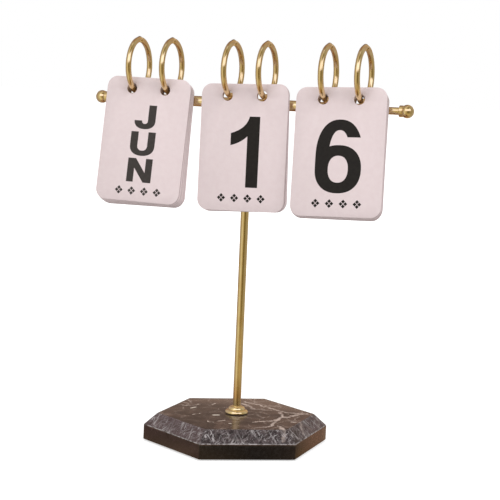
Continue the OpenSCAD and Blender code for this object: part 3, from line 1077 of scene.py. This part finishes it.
# %% Layout
FIGURE_H = 42.9 * MM
FIGURE_U, FIGURE_V = 0.25 * MM, -2.65 * MM
ONE_ASIDE = 1.1 * MM
LETTER_H = 14.75 * MM
LETTER_ROWS = (13.9 * MM, -2.7 * MM, -19.15 * MM)
ORNAMENT = 5.4 * MM
ORNAMENT_PITCH = 8.5 * MM
ORNAMENT_U = 0.4 * MM
ORNAMENT_V = {"month": -32.0 * MM, "day": -30.7 * MM}


def lozenge():
    """Four small diamonds that stand point to point round a thin cross."""
    half, away = 0.22, 0.265
    return [[(away * dx + half * x, away * dy + half * y) for x, y in ((-1, 0), (0, -1), (1, 0), (0, 1))]
            for dx, dy in ((0, 1), (1, 0), (0, -1), (-1, 0))]


def card_signs(node):
    """What is printed on a card, from its node's name, and in which ink."""
    family, name = node.split("_")[1:] if node.count("_") == 2 else ("month", node.split("_")[1])
    kind = "month" if family == "month" else "day"
    if kind == "month":
        signs = [(LETTERS[letter], LETTER_H, (0, v)) for letter, v in zip(name.upper(), LETTER_ROWS)]
    else:
        aside = ONE_ASIDE if name == "1" else 0.0
        signs = [(FIGURES[name], FIGURE_H, (FIGURE_U + aside, FIGURE_V))]
    for k in range(4):
        signs.append((lozenge(), ORNAMENT, ((k - 1.5) * ORNAMENT_PITCH + ORNAMENT_U, ORNAMENT_V[kind])))
    return signs, month_ink_painted_sheen if kind == "month" else digit_ink


# %% [markdown]
# ## All the cards
# Every card is made flat, moved to its CAD place and printed. The film of ink is a piece of its own, and
# both ride on the card's body, so the print turns with its card.

# %% Cards
for count, node in enumerate(sorted(n for n in cad if n.startswith("card_"))):
    place, extent = card_frame(node)
    body = cad[node]["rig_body"]
    blank = make_blank(extent)
    bmesh.ops.transform(blank, matrix=place, verts=blank.verts)
    # Each card's cut edges get one of three painted shades in turn, and its holes the painted brown shade
    faced = [board, painted_shade_edges[count % 3], hole_painted_shade]
    finish_piece(blank, node.replace("card", "board"), body, faced, [node])
    signs, ink = card_signs(node)
    film = ink_film(signs, extent.z / 2)
    bmesh.ops.transform(film, matrix=place, verts=film.verts)
    finish_piece(film, node.replace("card", "print"), body, [ink])

# %% [markdown]
# ## A white studio
# Floor and world are white to the camera and to reflections, but they light the object much less. The floor
# adds a glow for the eye to a plain white surface, and only the surface gets darker in the object's shadow.

# %% Floor and world
WORLD_FILL = 0.46
FLOOR_SIZE = 24.0
FLOOR_GREY = (0.60, 0.60, 0.60, 1)
FLOOR_GLOW = 0.58
FLOOR_FADE = (0.15, 0.6)
WHITE = (1, 1, 1, 1)


def seen_directly(tree):
    """1 for camera, glossy and transmission rays, 0 for the rays that carry light."""
    path = tree.nodes.new("ShaderNodeLightPath").outputs
    mirrored = calc(tree, "MAXIMUM", path["Is Glossy Ray"], path["Is Transmission Ray"])
    return calc(tree, "MAXIMUM", path["Is Camera Ray"], mirrored)


def make_world():
    world = bpy.data.worlds.new("white_room")
    world.use_nodes = True
    tree = world.node_tree
    background = tree.nodes["Background"]
    strength = calc(tree, "MULTIPLY_ADD", seen_directly(tree), 1.0 - WORLD_FILL, WORLD_FILL)
    fill(background, {"Color": WHITE, "Strength": strength})
    scene.world = world


def make_floor():
    material, shader, tree = new_material("white_floor")
    glow = calc(tree, "MULTIPLY_ADD", ramp(tree, reach(tree), *FLOOR_FADE), 1.0 - FLOOR_GLOW, FLOOR_GLOW)
    fill(shader, {"Base Color": FLOOR_GREY, "Roughness": 0.9, "Specular IOR Level": 0.0,
                  "Emission Color": WHITE, "Emission Strength": times(tree, seen_directly(tree), glow)})
    material.cycles.emission_sampling = "NONE"
    bm = bmesh.new()
    bmesh.ops.create_grid(bm, x_segments=1, y_segments=1, size=FLOOR_SIZE / 2)
    floor = as_object(bm, "floor")
    floor.data.materials.append(material)


make_world()
make_floor()

# %% [markdown]
# Polished metal needs dim things to reflect, or it looks like plaster. So a tent of cloth stands round the
# set and lies on the table, with a small opening at the top. Only glossy rays see it, so it shades nothing.
# A radial gradient gives it a tone for every direction. Three patches lie on top: the cloth is browner
# close to the foot, a golden pool on the table shows in the lower post, and a long bright panel round the
# right front draws the highlights on bar, rings and flange.

# %% Tent
TENT = [(0.045, 0.0003), (1.6, 0.0003), (1.6, 1.5), (0.30, 2.1)]
TENT_STEPS = 72
TENT_TONES = [
    # azimuth, colour
    (-90, (0.44, 0.35, 0.33)), (-57, (0.58, 0.56, 0.42)), (-42, (0.68, 0.66, 0.50)),
    (-28, (0.90, 0.87, 0.69)), (-20, (0.86, 0.82, 0.63)), (-8, (0.58, 0.52, 0.34)),
    (6, (0.55, 0.47, 0.28)), (24, (0.24, 0.19, 0.07)),
    (34, (0.12, 0.09, 0.03)), (48, (0.23, 0.18, 0.08)), (64, (0.39, 0.34, 0.19)), (97, (0.39, 0.36, 0.27)),
    (138, (0.51, 0.48, 0.41)), (158, (0.45, 0.33, 0.24)), (178, (0.62, 0.47, 0.28)),
    (192, (0.31, 0.215, 0.165)), (220, (0.33, 0.23, 0.18)), (240, (0.46, 0.40, 0.35)),
    (256, (0.48, 0.46, 0.44)), (270, (0.44, 0.35, 0.33)),
]
# The patches' colours, and where they fade in and out, in metres or in turns from the left
NEAR_TINT, NEAR_FADE = (0.75, 0.50, 0.36, 1), (0.12, 0.20)
POOL_TONE, POOL_REACH = (0.58, 0.47, 0.26, 1), ((0.13, 0.22), (0.50, 0.34))
POOL_TURN = ((0.272, 0.322), (0.528, 0.458))
PANEL_TONE, PANEL_HEIGHT = (1.54, 1.54, 1.86, 1), ((0.45, 0.70), (1.70, 1.50))
PANEL_TURN = ((0.14, 0.19), (0.49, 0.45))


def tent_cloth():
    material, shader, tree = new_material("tent_cloth")
    turned = add(tree, "TexGradient", {"Vector": object_place(tree)}, gradient_type="RADIAL")
    tone = add(tree, "ValToRGB", {"Fac": turned})
    stops = tone.node.color_ramp.elements
    for azimuth, colour in TENT_TONES[1:-1]:
        stops.new(0.25 + azimuth / 360).color = (*colour, 1)
    for end in (0, -1):
        stops[end].color = (*TENT_TONES[end][1], 1)
    away = reach(tree)
    height = add(tree, "SeparateXYZ", {0: object_place(tree)}, out=2)
    cloth = blend(tree, ramp(tree, away, *NEAR_FADE, 1.0, 0.0), tone, NEAR_TINT, "MULTIPLY")
    pool = times(tree, window(tree, away, *POOL_REACH), window(tree, turned, *POOL_TURN))
    cloth = blend(tree, pool, cloth, POOL_TONE)
    panel = times(tree, window(tree, height, *PANEL_HEIGHT), window(tree, turned, *PANEL_TURN))
    # The cloth takes no light: its tones and its bright panel are its own glow, seen only in reflections
    fill(shader, {"Base Color": (0, 0, 0, 1), "Specular IOR Level": 0.0, "Emission Strength": 1.0,
                  "Emission Color": blend(tree, panel, cloth, PANEL_TONE)})
    material.cycles.emission_sampling = "NONE"
    return material


def make_tent():
    bm = bmesh.new()
    points = [bm.verts.new((radius, 0, height)) for radius, height in TENT]
    edges = [bm.edges.new(pair) for pair in zip(points, points[1:])]
    bmesh.ops.spin(bm, geom=points + edges, axis=(0, 0, 1), cent=(0, 0, 0), steps=TENT_STEPS, angle=math.tau,
                   use_merge=True)
    tent = as_object(bm, "tent")
    tent.data.materials.append(tent_cloth())
    for rays in ("camera", "diffuse", "shadow", "transmission"):
        setattr(tent, "visible_" + rays, False)


make_tent()

# %% [markdown]
# Four soft lamps light the set: a key from the upper right, which throws the rings' shadows to the left, a
# long box on the left, a soft light from above and a weak one from behind. None shows in reflections, where
# square lamps would look hard; that is what the tent is for.

# %% Lamps
AIM = Vector((0, 0, 0.15))
LAMPS = [
    # name, azimuth, elevation, distance, width, height, watts
    ("key", 54, 44, 2.6, 1.8, 1.8, 31.2),
    ("long_box", -25, 28, 1.2, 0.80, 0.55, 3.55),
    ("overhead", 10, 82, 1.4, 1.3, 1.3, 6.0),
    ("rear", 195, 28, 1.6, 1.0, 0.6, 5.0),
]


def direction(azimuth, elevation):
    """Towards a place round the object: azimuth 0 is in front of it, at -Y, and 90 is on its right."""
    a, e = math.radians(azimuth), math.radians(elevation)
    return Vector((math.sin(a) * math.cos(e), -math.cos(a) * math.cos(e), math.sin(e)))


for name, azimuth, elevation, distance, width, height, watts in LAMPS:
    light = bpy.data.lights.new(name, "AREA")
    light.shape = "RECTANGLE"
    light.size = width
    light.size_y = height
    light.energy = watts
    lamp = bpy.data.objects.new(name, light)
    lamp.location = AIM + direction(azimuth, elevation) * distance
    lamp.rotation_euler = direction(azimuth, elevation).to_track_quat("Z", "Y").to_euler()
    lamp.visible_glossy = False
    scene.collection.objects.link(lamp)
    print("lamp", name, [round(c, 2) for c in lamp.location])

# %% [markdown]
# ## Camera
# The camera stands a little to the right and looks slightly down with a long lens. It is turned by two
# degrees about its own axis, so its three axes are worked out and put straight into its matrix.

# %% Camera
VIEW_AZIMUTH, VIEW_ELEVATION = 19.558, 6.705
VIEW_ROLL = math.radians(2.435)
VIEW_DISTANCE = 920.309 * MM
VIEW_TARGET = Vector((4.421, 0.0, 120.378)) * MM
LENS = 107.7066
SENSOR = 36.0
SEEN_TO = 20.0

back = direction(VIEW_AZIMUTH, VIEW_ELEVATION)
level_right = (-back).cross(Vector((0, 0, 1))).normalized()
level_up = level_right.cross(-back)
camera_x = level_right * math.cos(VIEW_ROLL) + level_up * math.sin(VIEW_ROLL)
camera_y = level_up * math.cos(VIEW_ROLL) - level_right * math.sin(VIEW_ROLL)
lens = bpy.data.cameras.new("camera")
lens.lens = LENS
lens.sensor_width = SENSOR
lens.clip_end = SEEN_TO
camera = bpy.data.objects.new("camera", lens)
scene.collection.objects.link(camera)
axes = Matrix((camera_x, camera_y, back)).transposed().to_4x4()
camera.matrix_world = Matrix.Translation(VIEW_TARGET + back * VIEW_DISTANCE) @ axes
scene.camera = camera
scene.view_settings.view_transform = "Standard"
print("camera at", [round(c, 3) for c in camera.matrix_world.translation])
